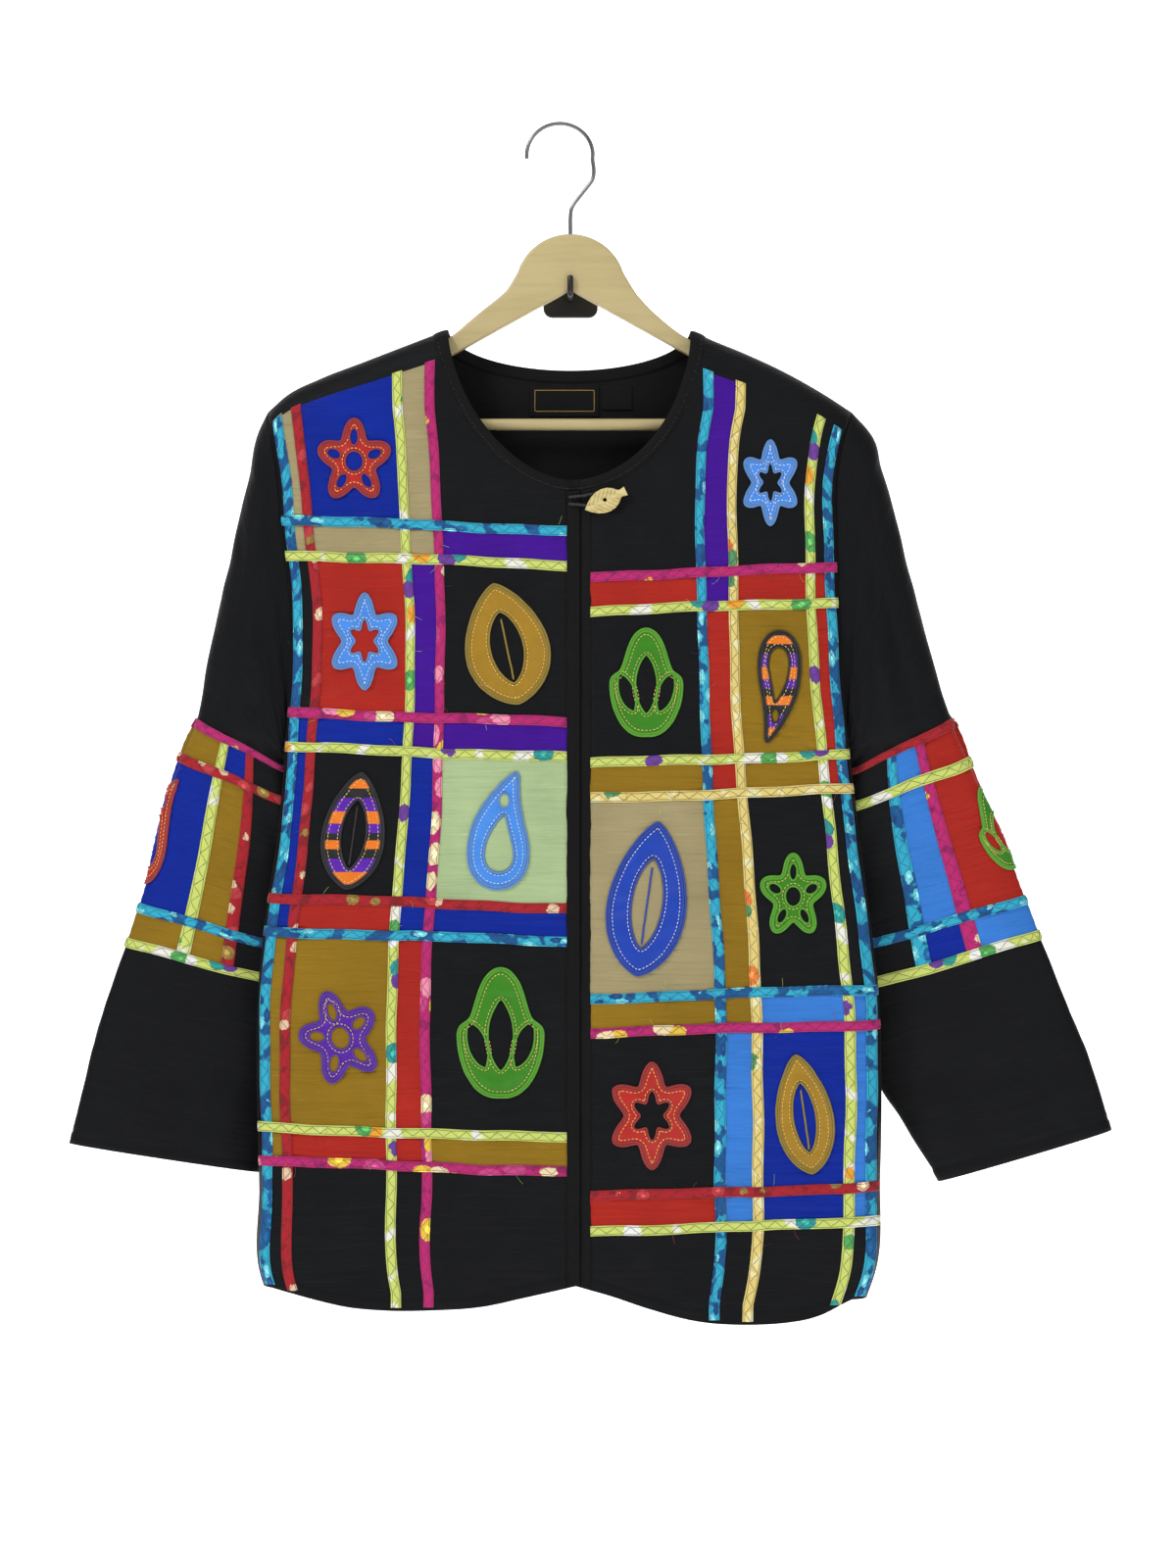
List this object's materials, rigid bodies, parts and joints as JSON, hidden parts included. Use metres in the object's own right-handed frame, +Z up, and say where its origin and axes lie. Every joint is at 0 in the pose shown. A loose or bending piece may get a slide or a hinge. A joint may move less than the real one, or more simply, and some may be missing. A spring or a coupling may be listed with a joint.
{
  "type": "patchwork jacket on a wooden hanger and a wall hook",
  "caption": "Loose patchwork jacket of dark silk with printed tapes and raised patches, open at the neck, hung flat on a wooden hanger that a small wall hook holds.",
  "frame": {"origin": "middle of the wall hook's flat back, on the wall", "axes": "+X to the wearer's left, which is the viewer's right; +Y into the wall; +Z up"},
  "size_m": [0.7896, 0.0642, 0.9051],
  "materials": {
    "silk": "slubbed black silk",
    "trim": "black woven strip",
    "tape": "printed cotton tape, mostly lime, with cyan, magenta, red and yellow ones",
    "red": "silk patch",
    "gold": "silk patch",
    "sky": "silk patch",
    "green": "silk patch",
    "blue": "silk patch",
    "purple": "silk patch",
    "orange": "silk patch",
    "birch": "clear satin varnish",
    "steel": "bright wire",
    "black_paint": "satin black",
    "carved_wood": "carved, unvarnished"
  },
  "bodies": {
    "root": {"applique_left_1_star": "sky", "applique_left_2_tulip": "green", "applique_left_3_paisley": "purple", "applique_left_4_leaf": "blue", "applique_left_5_flower": "green", "applique_left_6_star": "red", "applique_left_7_leaf": "gold", "applique_right_1_flower": "red", "applique_right_2_leaf": "gold", "applique_right_3_star": "sky", "applique_right_4_paisley": "sky", "applique_right_5_leaf": "orange", "applique_right_6_tulip": "green", "applique_right_7_flower": "purple", "back_left": "silk", "back_right": "silk", "binding": "trim", "button": "carved_wood", "front_left": "silk", "front_right": "silk", "hanger": "birch", "hanger_bar": "birch", "hanger_hook": "steel", "label": "trim", "loop": "trim", "placket_left": "trim", "placket_right": "trim", "size_label": "trim", "sleeve_left_band": "silk", "sleeve_left_cuff": "silk", "sleeve_left_upper": "silk", "sleeve_right_band": "silk", "sleeve_right_cuff": "silk", "sleeve_right_upper": "silk", "tapes_left": "tape", "tapes_right": "tape", "tapes_sleeve_left": "tape", "tapes_sleeve_right": "tape", "wall_hook": "black_paint"}
  },
  "joints": []
}
